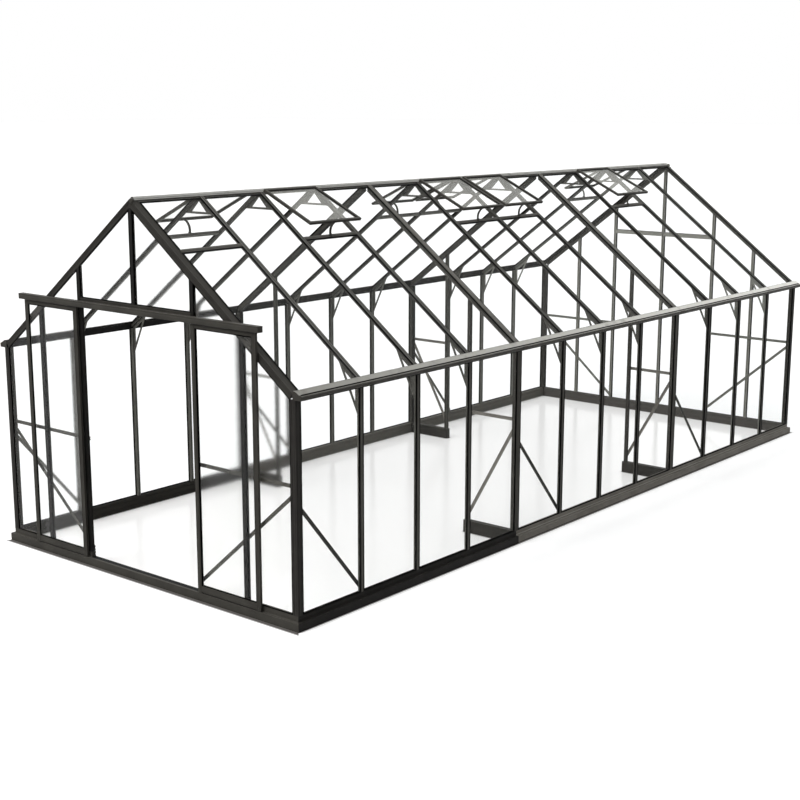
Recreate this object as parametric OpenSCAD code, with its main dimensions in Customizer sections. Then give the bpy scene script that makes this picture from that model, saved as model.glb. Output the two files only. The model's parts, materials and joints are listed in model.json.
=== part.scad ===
// Walk-in greenhouse with an aluminium frame, clear panes, double sliding
// doors, roof vents held open and four short wing frames inside.
// Millimetres. X runs across the gable, Y along the ridge, Z up.
// The doors are in the gable at the low end of Y.

/* [Building] */
// distance between two bars of the long walls, centre to centre
bay = 620; // [450:5:800]
// distance between the centre lines of the two long walls
span = 3090; // [2600:10:3800]
// height at which the roof line crosses the wall line
eave_height = 1581; // [1350:1:1950]
// height of the roof line at the middle of the building
ridge_height = 2757; // [2350:1:3350]
// distance between the two doorway posts, centre to centre
doorway = 1210; // [960:10:1460]

/* [Base] */
// height of the inner step of the base rail, where the panes start
base_height = 100; // [80:1:125]
// height of the outer ledge of the base rail
ledge_height = 60; // [45:1:70]
// how far the base rail stands out from the wall line
base_out = 36; // [30:1:44]
// how far the base rail reaches in from the wall line
base_in = 24; // [18:1:30]

/* [Bars] */
// width of a wall, gable or roof bar across the pane
bar_width = 30; // [24:1:36]
// depth of a wall or gable bar
bar_depth = 28; // [22:1:34]
// how far the outer face of a bar stands out from the wall line
bar_out = 12; // [10:1:15]
// side of a corner post
corner_side = 48; // [40:1:58]
// width of the doubled bars between two modules
joint_width = 50; // [42:1:60]
// depth of the doubled bars between two modules
joint_depth = 44; // [36:1:52]
// distance of a module's outer glazing lines from its ends
joint_inset = 20; // [14:1:25]
// depth of a roof bar, square to the slope
roof_bar_depth = 28; // [22:1:34]
// how far a roof bar stands above the roof line
roof_bar_up = 16; // [14:1:20]
// depth of a gable rafter's front leg, square to the slope
gable_rafter_depth = 47; // [38:1:56]
// how far a gable rafter stands above the roof line
gable_rafter_up = 8; // [7:1:10]
// thickness of a gable rafter's front leg
gable_leg = 24; // [20:1:28]
// how far a gable rafter's flange reaches back from its front face
gable_flange = 58; // [48:1:70]

/* [Eaves and ridge] */
// how far the gutter stands out from the wall line
gutter_out = 65; // [54:1:78]
// how far the gutter reaches in from the wall line
gutter_in = 10; // [6:1:14]
// how far the gutter's underside lies below the roof line at the wall
gutter_drop = 24; // [19:1:29]
// height of the gutter's front lip
gutter_lip = 32; // [26:1:38]
// height of the gutter's back
gutter_back = 58; // [52:1:70]
// width of the trough behind the gutter's front lip
gutter_trough = 18; // [14:1:22]
// wall thickness of the gutter and the door rail
sheet = 3; // [2.5:0.1:4]
// how far gutters run past the gable wall lines
gutter_past = 14; // [12:1:20]
// half width of the ridge bar
ridge_half = 26; // [22:1:32]
// width of the sloping face at each side of the ridge bar's top
ridge_face = 16; // [13:1:19]
// how far the ridge bar stands above the roof line
ridge_up = 22; // [18:1:28]
// how far the ridge bar hangs below the roof line
ridge_down = 23; // [19:1:28]

/* [Panes] */
// thickness of a pane
pane = 4; // [3:0.5:6]
// distance of a pane from the outer face of its bars
pane_back = 4; // [3:0.5:6]
// play between a pane and the bar it sits in
pane_play = 0.3; // [0.2:0.1:0.6]

/* [Braces] */
// height of the level braces in the gables
level_height = 973; // [820:1:1150]
// height of the level braces in the wing frames
wing_level_height = 995; // [830:1:1190]
// height at which the gable diagonals leave the corner post
gable_diagonal_height = 918; // [780:1:1080]
// height at which the wing diagonals leave the wall
wing_diagonal_height = 935; // [800:1:1100]
// height at which the wall diagonals leave their post
wall_diagonal_height = 843; // [700:1:1000]
// height at which every diagonal ends
diagonal_foot = 122; // [112:1:146]
// width of a brace bar
brace_width = 22; // [18:1:26]
// thickness of a brace bar
brace_thick = 8; // [6:1:10]
// how far a wing frame's base runs past its post
wing_past = 26; // [20:1:32]

/* [Knees and collars] */
// how far below the gutter a knee brace leaves the wall bar
knee_drop = 222; // [185:1:266]
// distance of a knee brace's upper end from the wall line
knee_reach = 195; // [160:1:234]
// width of a knee brace's strut
knee_width = 17; // [14:1:20]
// width of a knee brace's leg along the wall bar
knee_leg = 28; // [23:1:33]
// width of a knee brace's strip under the roof bar
knee_strip = 29; // [24:1:35]
// thickness of knee brace and collar plates
plate_thick = 5; // [4:0.5:6]
// drop of the collar below the ridge line
collar_drop = 132; // [110:1:158]
// height of the level strip of a collar
collar_strip = 16; // [13:1:19]
// width of a collar plate along the rafter
collar_leg = 34; // [28:1:40]

/* [Roof vents] */
// height of a vent's hinge edge above the ridge line
hinge_rise = 4; // [2:0.5:8]
// distance of the vent's sill bar from the ridge, along the slope
sill_distance = 554; // [460:1:664]
// length of a vent sash down the slope
sash_length = 533; // [444:1:640]
// width of a sash bar
sash_bar = 18; // [15:1:22]
// thickness of a sash bar
sash_thick = 16; // [13:1:19]
// play at each side of a sash
sash_play = 6; // [4:1:9]
// angle by which an open sash stands off the slope
sash_opening = 12; // [9:0.1:14]
// width of the stay strip
stay_width = 12; // [10:1:14]
// thickness of the stay strip
stay_thick = 4; // [3:0.5:5]

/* [Doorway and doors] */
// how far the header's underside lies above the door rail's
header_rise = 8; // [6:1:12]
// height of the header and of the rear cross bar
header_tall = 56; // [46:1:66]
// height of the underside of the door rail
rail_low = 1967; // [1640:1:2140]
// height of the door rail
rail_tall = 42; // [38:1:50]
// how far the door rail stands out from the front bars
rail_deep = 46; // [44:1:54]
// how far the door rail runs past an open leaf
rail_past = 43; // [35:1:52]
// how far an open leaf's inner edge lies past its doorway post's centre line
leaf_back_off = 9; // [7:1:11]
// how much wider a leaf is than half the doorway
leaf_over = 14; // [12:1:17]
// thickness of a leaf
leaf_thick = 20; // [17:1:23]
// gap between a leaf and the front bars
leaf_gap = 6; // [5:0.5:7]
// width of a leaf's stiles
stile = 38; // [32:1:45]
// height of a leaf's bottom rail
kick = 50; // [42:1:60]
// height of a leaf's top rail
top_rail = 27; // [23:1:32]
// gap under a leaf
leaf_low_gap = 6; // [5:0.5:8]
// gap between a leaf and the door rail above it
leaf_top_gap = 6; // [5:0.5:8]

/* [Hidden] */

$fn = 48;

// three modules of four bays
modules = 3;
module_bays = 4;
bays = modules * module_bays;
length = bays * bay;

// bays with an open vent, counted from the front
vents_right = [3, 6, 7, 10];
vents_left = [2, 6, 7, 11];
// bays of the right slope that have only the sill bar
plain_sills_right = [1];

half = span / 2;
slope = atan((ridge_height - eave_height) / half);
gutter_low = eave_height - gutter_drop;
knee_height = gutter_low - knee_drop;
sash_angle = slope - sash_opening;
door_half = doorway / 2;
header_low = rail_low + header_rise;
leaf_open = door_half + leaf_back_off;
leaf_width = door_half + leaf_over;
rail_half = leaf_open + leaf_width + rail_past;
// the gable bar halfway between the doorway post and the wall
mid_bar = (half + door_half) / 2;
bar_half = bar_width / 2;
bar_in = bar_depth - bar_out;
joint_in = joint_depth - bar_out;
corner_in = corner_side - bar_out;
pane_far = bar_out - pane_back;

// places of the bars along the building: panes of one width in each module
module_length = module_bays * bay;
pane_pitch = (module_length - joint_inset * 2) / module_bays;
function along(i) = floor(i / module_bays) * module_length - length / 2
  + (i % module_bays == 0 ? 0 : joint_inset + i % module_bays * pane_pitch);
function is_joint(i) = i > 0 && i < bays && i % module_bays == 0;
mid_lines = [for (i = [1 : bays - 1]) if (!is_joint(i)) i];
joint_lines = [for (i = [1 : bays - 1]) if (is_joint(i)) i];
// height of the roof line at a distance from the middle
function roof_at(x) = ridge_height - abs(x) * tan(slope);
// the same, moved square to the slope
function roof_off(x, off) = roof_at(x) + off / cos(slope);
function lies_in(v, list) = len([for (a = list) if (a == v) a]) > 0;

module both_sides() {
  children();
  mirror([1, 0, 0]) children();
}

module both_ends() {
  children();
  mirror([0, 1, 0]) children();
}

// a box from its low corner to its high corner
module block(a, b) {
  translate(a) cube(b - a);
}

// a flat outline in X and Z, from y0 to y1
module across(points, y0, y1) {
  translate([0, y1, 0]) rotate([90, 0, 0]) linear_extrude(y1 - y0) polygon(points);
}

// a flat outline in Y and Z, from x0 to x1
module endwise(points, x0, x1) {
  translate([x0, 0, 0]) rotate([90, 0, 90]) linear_extrude(x1 - x0) polygon(points);
}

// the room under a line that lies off the roof line
module under_roof(off, y0, y1) {
  wide = half + 200;
  low = roof_off(wide, off);
  across([[-wide, 0], [wide, 0], [wide, low], [0, roof_off(0, off)], [-wide, low]], y0, y1);
}

// base rail outline: depth outwards, height
function base_outline() = [
  [-base_in, 0], [base_out, 0], [base_out, ledge_height],
  [bar_out, ledge_height], [bar_out, base_height], [-base_in, base_height]
];

// the wall rails run between the gable rails
module base_side() {
  y = length / 2 - base_in;
  across([for (p = base_outline()) [p[0] + half, p[1]]], -y, y);
}

// the gable rail, its corners stepped like the wall rails
module base_end() {
  translate([0, -length / 2, 0]) {
    block([-half - base_out, -base_out, 0], [half + base_out, base_in, ledge_height]);
    block([-half - bar_out, -bar_out, ledge_height], [half + bar_out, base_in, base_height]);
  }
}

// the doorway has no inner step between its posts
module base_front() {
  x = door_half - bar_half;
  y = -length / 2;
  color("#37353a") difference() {
    base_end();
    block([-x, y - base_out - 1, ledge_height], [x, y + base_in + 1, base_height + 1]);
  }
}

module base_rear() {
  color("#37353a") mirror([0, 1, 0]) base_end();
}

module base_left() {
  color("#37353a") mirror([1, 0, 0]) base_side();
}

module base_right() {
  color("#37353a") base_side();
}

module corner_posts() {
  y = -length / 2;
  color("#37353a") both_sides() both_ends()
    block([half - corner_in, y - bar_out, base_height], [half + bar_out, y + corner_in, gutter_low]);
}

module wall_bars() {
  for (i = mid_lines) translate([half, along(i), 0])
    block([-bar_in, -bar_half, base_height], [bar_out, bar_half, gutter_low]);
}

module wall_bars_left() {
  color("#37353a") mirror([1, 0, 0]) wall_bars();
}

module wall_bars_right() {
  color("#37353a") wall_bars();
}

module joint_posts() {
  w = joint_width / 2;
  color("#37353a") both_sides() for (i = joint_lines) translate([half, along(i), 0])
    block([-joint_in, -w, base_height], [bar_out, w, gutter_low]);
}

// gutter outline from its inner lower corner
function gutter_outline() = [
  [-gutter_in, 0], [gutter_out, 0], [gutter_out, gutter_lip],
  [gutter_out - sheet, gutter_lip], [gutter_out - sheet, sheet],
  [gutter_out - gutter_trough, sheet], [gutter_out - gutter_trough, gutter_lip + 4],
  [gutter_in, gutter_back - 1], [gutter_in, gutter_back], [-gutter_in, gutter_back]
];

module gutter() {
  y = length / 2 + gutter_past;
  translate([half, 0, gutter_low]) {
    across(gutter_outline(), -y, y);
    both_ends() block([gutter_out - gutter_trough - sheet, -y, 0], [gutter_out, sheet - y, gutter_lip]);
  }
}

module gutter_left() {
  color("#37353a") mirror([1, 0, 0]) gutter();
}

module gutter_right() {
  color("#37353a") gutter();
}

// the ridge bar runs between the front legs of the gable rafters
module ridge_bar() {
  y = length / 2 + bar_out - gable_leg;
  r = ridge_half;
  top = r - ridge_face;
  color("#37353a") translate([0, 0, ridge_height])
    across([[-r, -ridge_down], [r, -ridge_down], [r, 0], [top, ridge_up], [-top, ridge_up], [-r, 0]], -y, y);
}

// one bar on the right slope, from a distance off the middle to the gutter
module slope_piece(a, up, down, y0, y1) {
  b = half - gutter_in;
  across([[a, roof_off(a, -down)], [b, roof_off(b, -down)], [b, roof_off(b, up)], [a, roof_off(a, up)]], y0, y1);
}

module slope_bar(up, down, y0, y1) {
  slope_piece(ridge_half, up, down, y0, y1);
}

module roof_bars() {
  for (i = mid_lines)
    slope_bar(roof_bar_up, roof_bar_depth - roof_bar_up, along(i) - bar_half, along(i) + bar_half);
}

module roof_bars_left() {
  color("#37353a") mirror([1, 0, 0]) roof_bars();
}

module roof_bars_right() {
  color("#37353a") roof_bars();
}

// a rafter's foot rests on its posts, so it ends level with their tops
module on_posts(y0, y1) {
  intersection() {
    union() children();
    block([0, y0, gutter_low], [half + bar_out, y1, ridge_height + ridge_up * 2]);
  }
}

module joint_rafters() {
  w = joint_width / 2;
  color("#37353a") both_sides() for (i = joint_lines) translate([0, along(i), 0]) on_posts(-w, w)
    slope_bar(roof_bar_up, joint_depth - roof_bar_up, -w, w);
}

gable_under = gable_rafter_up - gable_rafter_depth;
gable_reach = gable_flange - bar_out;

// a front leg that meets its twin in the middle, and a flange behind it that
// carries the roof panes
module gable_rafters() {
  color("#37353a") both_sides() both_ends() translate([0, -length / 2, 0]) on_posts(-bar_out, gable_reach) {
    slope_piece(pane_play / 2, gable_rafter_up, -gable_under, -bar_out, gable_leg - bar_out);
    slope_bar(gable_rafter_up, 0, -bar_out, gable_reach);
  }
}

// a gable bar up to the gable rafter
module gable_bar(x, low) {
  y0 = -length / 2 - bar_out;
  intersection() {
    block([x - bar_half, y0, low], [x + bar_half, y0 + bar_depth, ridge_height]);
    under_roof(gable_under, y0 - 1, y0 + bar_depth + 1);
  }
}

module gable_bars_front() {
  color("#37353a") {
    both_sides() {
      gable_bar(mid_bar, base_height);
      gable_bar(door_half, base_height);
    }
    gable_bar(0, header_low + header_tall);
  }
}

module gable_bars_rear() {
  color("#37353a") mirror([0, 1, 0]) {
    both_sides() {
      gable_bar(mid_bar, base_height);
      gable_bar(door_half, base_height);
    }
    gable_bar(0, base_height);
  }
}

module header() {
  y = -length / 2 - bar_out;
  x = door_half - bar_half;
  color("#37353a") block([-x, y, header_low], [x, y + bar_depth, header_low + header_tall]);
}

module rear_cross_bars() {
  y = length / 2 + bar_out;
  x = door_half - bar_half;
  color("#37353a") both_sides()
    block([bar_half, y - bar_depth, header_low + 12], [x, y, header_low + header_tall - 4]);
}

// a flat diagonal in X and Z between two uprights
function strip(x0, z0, x1, z1, w) = let (l = norm([x1 - x0, z1 - z0]), v = w / 2 * l / abs(x1 - x0))
  [[x0, z0 - v], [x1, z1 - v], [x1, z1 + v], [x0, z0 + v]];

module gable_braces() {
  y = -length / 2 + bar_in;
  x = half - corner_in;
  foot = door_half - bar_half;
  color("#37353a") both_sides() both_ends() {
    block([foot, y, level_height - brace_width / 2], [x, y + brace_thick, level_height + brace_width / 2]);
    across(strip(x, gable_diagonal_height, foot, diagonal_foot, brace_width), y, y + brace_thick);
  }
}

// the diagonal in the first bay of each module
module wall_braces() {
  x = half - bar_in - brace_thick;
  color("#37353a") both_sides() for (m = [0 : modules - 1]) {
    start = m == 0 ? corner_in : joint_width / 2;
    y0 = along(m * module_bays) + start;
    y1 = along(m * module_bays + 1) + bar_half;
    endwise(strip(y0, wall_diagonal_height, y1, diagonal_foot, brace_width), x, x + brace_thick);
  }
}

// the wing posts stand in line with the gable bars beside the doorway
wing_x = mid_bar;

module wing_bases() {
  low = (base_out + base_in) / 2 - 4;
  high = joint_width / 2;
  x = wing_x - wing_past;
  color("#37353a") both_sides() for (i = joint_lines) translate([0, along(i), 0]) {
    block([x, -low, 0], [half - base_in, low, ledge_height]);
    block([x, -high, ledge_height], [half - base_in, high, base_height]);
  }
}

module wing_posts() {
  w = bar_depth / 2;
  color("#37353a") both_sides() for (i = joint_lines) translate([0, along(i), 0]) intersection() {
    block([wing_x - bar_half, -w, base_height], [wing_x + bar_half, w, ridge_height]);
    under_roof(roof_bar_up - joint_depth, -w - 1, w + 1);
  }
}

module wing_braces() {
  x = half - joint_in;
  foot = wing_x - bar_half;
  w = brace_width / 2;
  color("#37353a") both_sides() for (i = joint_lines) {
    y = along(i) + bar_depth / 2;
    block([foot, y, wing_level_height - w], [x, y + brace_thick, wing_level_height + w]);
    across(strip(x, wing_diagonal_height, foot, diagonal_foot + 8, brace_width), y, y + brace_thick);
  }
}

// one plate with a three-cornered hole: a strut from the wall bar to the roof
// bar, a leg down the wall bar and a strip under the roof bar
module knee() {
  off = roof_bar_up - roof_bar_depth;
  x0 = half - bar_in;
  x1 = half - knee_reach;
  foot = [x0, knee_height];
  top = [x1 + 4, roof_off(x1 + 4, off - knee_width * 0.6)];
  d = (top - foot) / norm(top - foot);
  // the strut's inner line, through start
  start = foot + [d[1], -d[0]] * knee_width;
  leg_x = x0 - knee_leg;
  low = start[1] + (leg_x - start[0]) / d[0] * d[1];
  strip_off = off - knee_strip;
  t = (roof_off(0, strip_off) - start[0] * tan(slope) - start[1]) / (d[1] + d[0] * tan(slope));
  across_plate() difference() {
    polygon([foot, [x0, roof_off(x0, off)], [x1, roof_off(x1, off)], top]);
    polygon([[leg_x, low], [leg_x, roof_off(leg_x, strip_off)], start + d * t]);
  }
}

// a flat outline in X and Z as a plate about Y = 0
module across_plate() {
  translate([0, plate_thick / 2, 0]) rotate([90, 0, 0]) linear_extrude(plate_thick) children();
}

module knee_braces() {
  color("#37353a") both_sides() for (i = mid_lines) translate([0, along(i), 0]) knee();
}

module ridge_collars() {
  off = roof_bar_up - roof_bar_depth;
  low = ridge_height - collar_drop;
  high = ridge_height - ridge_down;
  reach = (ridge_height + off / cos(slope) - low) / tan(slope);
  inner = (ridge_height + (off - collar_leg) / cos(slope) - low - collar_strip) / tan(slope);
  peak = high - 10;
  peak_in = (ridge_height + (off - collar_leg) / cos(slope) - peak) / tan(slope);
  top_in = (ridge_height + off / cos(slope) - high) / tan(slope);
  hole_low = low + collar_strip;
  hole_top = max(peak_in, 3);
  color("#37353a") for (i = mid_lines) translate([0, along(i), 0]) across_plate() difference() {
    polygon([[-reach, low], [reach, low], [top_in, high], [-top_in, high]]);
    polygon([[-inner, hole_low], [inner, hole_low], [hole_top, peak - 8], [-hole_top, peak - 8]]);
  }
}

// a bay's clear width between its bars, from y0 to y1
function bay_low(n) = along(n - 1) + (n == 1 ? gable_reach : is_joint(n - 1) ? joint_width / 2 : bar_half);
function bay_high(n) = along(n) - (n == bays ? gable_reach : is_joint(n) ? joint_width / 2 : bar_half);

// moves a shape drawn flat on the slope to the right slope:
// X down the slope from the ridge line, Z square to it
module on_slope() {
  translate([0, 0, ridge_height]) rotate([0, slope, 0]) children();
}

module sill(n) {
  d = sill_distance;
  low = roof_bar_up - roof_bar_depth + 4;
  on_slope() block([d - bar_half, bay_low(n), low], [d + bar_half, bay_high(n), roof_bar_up - 2]);
}

module vent_sills() {
  color("#37353a") {
    for (n = concat(vents_right, plain_sills_right)) sill(n);
    mirror([1, 0, 0]) for (n = vents_left) sill(n);
  }
}

// the hinge line, just off the ridge bar's sloping face
hinge_x = ridge_half - hinge_rise * ridge_face / ridge_up + 0.6;
hinge_z = ridge_height + hinge_rise;

// moves a flat sash to its open place on the right slope
module on_sash() {
  translate([hinge_x, 0, hinge_z]) rotate([0, sash_angle, 0]) children();
}

module sash(n) {
  a = bay_low(n) + sash_play;
  b = bay_high(n) - sash_play;
  on_sash() difference() {
    block([0, a, 0], [sash_length, b, sash_thick]);
    block([sash_bar, a + sash_bar, -1], [sash_length - sash_bar, b - sash_bar, sash_thick + 1]);
  }
}

module vent_sashes() {
  color("#37353a") {
    for (n = vents_right) sash(n);
    mirror([1, 0, 0]) for (n = vents_left) sash(n);
  }
}

module sash_pane(n) {
  g = sash_bar + pane_play;
  a = bay_low(n) + sash_play + g;
  b = bay_high(n) - sash_play - g;
  z = (sash_thick - pane) / 2;
  on_sash() block([g, a, z], [sash_length - g, b, z + pane]);
}

module vent_panes() {
  color("#dfe8ea", 0.3) {
    for (n = vents_right) sash_pane(n);
    mirror([1, 0, 0]) for (n = vents_left) sash_pane(n);
  }
}

// the bent stay between a sash and its sill
module stay(n) {
  y = (bay_low(n) + bay_high(n)) / 2;
  d = sash_length - sash_bar / 2;
  seat = 0.9;
  along_sash = [cos(sash_angle), -sin(sash_angle)];
  square_to_sash = [sin(sash_angle), cos(sash_angle)];
  top = [hinge_x, hinge_z] + d * along_sash - seat * square_to_sash;
  s = sill_distance;
  t = roof_bar_up - 2 + seat + 0.5;
  foot = [s * cos(slope) + t * sin(slope), ridge_height - s * sin(slope) + t * cos(slope)];
  gap = norm(top - foot);
  r = gap * 0.75;
  mid = (top + foot) / 2;
  h = sqrt(r * r - gap * gap / 4);
  u = (top - foot) / gap;
  c = mid + h * [u[1], -u[0]];
  a0 = atan2(top[1] - c[1], top[0] - c[0]);
  turn = 2 * asin(gap / 2 / r);
  translate([c[0], y, c[1]]) rotate([90, 0, 0]) rotate([0, 0, a0])
    rotate_extrude(angle = turn) translate([r - stay_thick / 2, -stay_width / 2]) square([stay_thick, stay_width]);
}

module vent_stays() {
  color("#37353a") {
    for (n = vents_right) stay(n);
    mirror([1, 0, 0]) for (n = vents_left) stay(n);
  }
}

module wall_panes() {
  for (n = [1 : bays]) {
    a = n == 1 ? along(0) + corner_in : bay_low(n);
    b = n == bays ? along(bays) - corner_in : bay_high(n);
    x = half + pane_far;
    block([x - pane, a + pane_play, base_height + pane_play], [x, b - pane_play, gutter_low - pane_play]);
  }
}

module wall_panes_left() {
  color("#dfe8ea", 0.3) mirror([1, 0, 0]) wall_panes();
}

module wall_panes_right() {
  color("#dfe8ea", 0.3) wall_panes();
}

// a roof pane between two distances from the middle
module roof_pane(n, from, to) {
  on_slope() block([from + pane_play, bay_low(n) + pane_play, 6], [to - pane_play, bay_high(n) - pane_play, 6 + pane]);
}

module roof_panes(vents, sills) {
  top = (ridge_half + 6 * sin(slope) + pane * sin(slope)) / cos(slope) + 2;
  end = (half - gutter_in - (6 + pane) * sin(slope)) / cos(slope);
  for (n = [1 : bays]) {
    open = lies_in(n, vents);
    barred = open || lies_in(n, sills);
    if (barred) roof_pane(n, sill_distance + bar_half, end);
    if (barred && !open) roof_pane(n, top, sill_distance - bar_half);
    if (!barred) roof_pane(n, top, end);
  }
}

module roof_panes_left() {
  color("#dfe8ea", 0.3) mirror([1, 0, 0]) roof_panes(vents_left, []);
}

module roof_panes_right() {
  color("#dfe8ea", 0.3) roof_panes(vents_right, plain_sills_right);
}

// a gable pane from x0 to x1, up to the gable rafter
module gable_pane(x0, x1, low) {
  y = -length / 2 - pane_far;
  intersection() {
    block([x0 + pane_play, y, low + pane_play], [x1 - pane_play, y + pane, ridge_height]);
    under_roof(gable_under - pane_play, y - 1, y + pane + 1);
  }
}

// the two panes beside the doorway bar, on one side
module side_gable_panes() {
  corner = half - corner_in;
  gable_pane(door_half + bar_half, mid_bar - bar_half, base_height);
  gable_pane(mid_bar + bar_half, corner, base_height);
}

module gable_panes_front() {
  color("#e9eeee", 0.4) both_sides() {
    side_gable_panes();
    gable_pane(bar_half, door_half - bar_half, header_low + header_tall);
  }
}

module gable_panes_rear() {
  y = length / 2 + pane_far;
  x0 = bar_half + pane_play;
  x1 = door_half - x0;
  color("#dfe8ea", 0.3) both_sides() {
    mirror([0, 1, 0]) side_gable_panes();
    mirror([0, 1, 0]) gable_pane(bar_half, door_half - bar_half, header_low + header_tall - 4);
    block([x0, y - pane, base_height + pane_play], [x1, y, header_low + 12 - pane_play]);
  }
}

// front face of the front bars, and of a leaf behind its gap
front = -length / 2 - bar_out;
leaf_back = front - leaf_gap;
leaf_face = leaf_back - leaf_thick;
leaf_low = ledge_height + leaf_low_gap;
leaf_high = rail_low - leaf_top_gap;
// middle of the hanger plates and half the slot they run in
hang = front - rail_deep / 2;
slot = 7;

module door_rail() {
  r0 = front - rail_deep;
  top = rail_low + rail_tall;
  color("#37353a") {
    block([-rail_half, r0, top - sheet], [rail_half, front, top]);
    block([-rail_half, r0, rail_low], [rail_half, r0 + sheet, top]);
    block([-rail_half, front - sheet, rail_low], [rail_half, front, top]);
    block([-rail_half, r0, rail_low], [rail_half, hang - slot, rail_low + sheet]);
    block([-rail_half, hang + slot, rail_low], [rail_half, front, rail_low + sheet]);
    both_sides() block([rail_half - sheet, r0, rail_low], [rail_half, front, top]);
  }
}

// one leaf's frame in its open place on the right
module leaf_frame() {
  x0 = leaf_open;
  x1 = leaf_open + leaf_width;
  difference() {
    block([x0, leaf_face, leaf_low], [x1, leaf_back, leaf_high]);
    block([x0 + stile, leaf_face - 1, leaf_low + kick], [x1 - stile, leaf_back + 1, leaf_high - top_rail]);
  }
}

// two wheeled hangers that carry a leaf in the door rail
module leaf_hangers() {
  seat = rail_low + sheet + 0.3;
  for (x = [leaf_open + 70, leaf_open + leaf_width - 70]) {
    block([x - 16, hang - 2, leaf_high], [x + 16, hang + 2, seat + 18]);
    translate([x, hang + 2, seat + 10]) rotate([-90, 0, 0]) cylinder(h = rail_deep / 2 - sheet - 7, r = 10);
    translate([x, hang - 2, seat + 10]) rotate([90, 0, 0]) cylinder(h = rail_deep / 2 - sheet - 7, r = 10);
  }
}

module leaf_pane() {
  g = pane_play;
  y = (leaf_face + leaf_back - pane) / 2;
  x0 = leaf_open + stile + g;
  x1 = leaf_open + leaf_width - stile - g;
  block([x0, y, leaf_low + kick + g], [x1, y + pane, leaf_high - top_rail - g]);
}

module door_left_frame() {
  color("#37353a") mirror([1, 0, 0]) leaf_frame();
}

module door_left_hangers() {
  color("#2b2b2d") mirror([1, 0, 0]) leaf_hangers();
}

module door_left_pane() {
  color("#e9eeee", 0.4) mirror([1, 0, 0]) leaf_pane();
}

module door_right_frame() {
  color("#37353a") leaf_frame();
}

module door_right_hangers() {
  color("#2b2b2d") leaf_hangers();
}

module door_right_pane() {
  color("#e9eeee", 0.4) leaf_pane();
}

base_front();
base_rear();
base_left();
base_right();
corner_posts();
wall_bars_left();
wall_bars_right();
joint_posts();
gutter_left();
gutter_right();
ridge_bar();
roof_bars_left();
roof_bars_right();
joint_rafters();
gable_rafters();
gable_bars_front();
gable_bars_rear();
header();
rear_cross_bars();
gable_braces();
wall_braces();
wing_bases();
wing_posts();
wing_braces();
knee_braces();
ridge_collars();
vent_sills();
vent_sashes();
vent_panes();
vent_stays();
wall_panes_left();
wall_panes_right();
roof_panes_left();
roof_panes_right();
gable_panes_front();
gable_panes_rear();
door_rail();
door_left_frame();
door_left_hangers();
door_left_pane();
door_right_frame();
door_right_hangers();
door_right_pane();
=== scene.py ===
import json
import math

import bmesh
import bpy
from mathutils import Matrix, Vector


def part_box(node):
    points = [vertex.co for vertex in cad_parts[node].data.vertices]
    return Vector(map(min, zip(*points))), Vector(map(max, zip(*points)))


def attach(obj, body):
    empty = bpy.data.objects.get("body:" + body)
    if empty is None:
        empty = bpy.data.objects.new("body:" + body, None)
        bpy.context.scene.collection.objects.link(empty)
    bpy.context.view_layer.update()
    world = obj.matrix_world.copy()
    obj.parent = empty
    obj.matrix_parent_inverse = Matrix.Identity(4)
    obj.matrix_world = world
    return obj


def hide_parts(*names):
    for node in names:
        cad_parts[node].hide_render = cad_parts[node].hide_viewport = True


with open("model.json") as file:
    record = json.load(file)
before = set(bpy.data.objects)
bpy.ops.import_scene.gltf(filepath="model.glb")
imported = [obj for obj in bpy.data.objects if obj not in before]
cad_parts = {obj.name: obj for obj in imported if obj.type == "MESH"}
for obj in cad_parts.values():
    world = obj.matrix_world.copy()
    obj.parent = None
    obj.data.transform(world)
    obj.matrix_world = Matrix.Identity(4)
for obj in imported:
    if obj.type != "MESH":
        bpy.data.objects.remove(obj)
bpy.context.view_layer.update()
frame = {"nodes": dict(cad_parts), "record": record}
scene = bpy.context.scene
upwards = Vector((0.0, 0.0, 1.0))
acrossWay = Vector((1.0, 0.0, 0.0))
ridgeWay = Vector((0.0, 1.0, 0.0))
print("frame loaded,", len(frame["nodes"]), "nodes")


class Wire:
    # a node's output, so that values over a surface are written as sums
    def __init__(self, shader, socket):
        self.shader = shader
        self.socket = socket

    def math(self, operation, first, second=0.0):
        return self.shader.node("Math", {"operation": operation}, {0: first, 1: second})

    def __add__(self, other):
        return self.math("ADD", self, other)

    __radd__ = __add__

    def __sub__(self, other):
        return self.math("SUBTRACT", self, other)

    def __rsub__(self, other):
        return self.math("SUBTRACT", other, self)

    def __mul__(self, other):
        return self.math("MULTIPLY", self, other)

    __rmul__ = __mul__

    def __lt__(self, other):
        return self.math("LESS_THAN", self, other)

    def __abs__(self):
        return self.math("ABSOLUTE", self)


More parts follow.
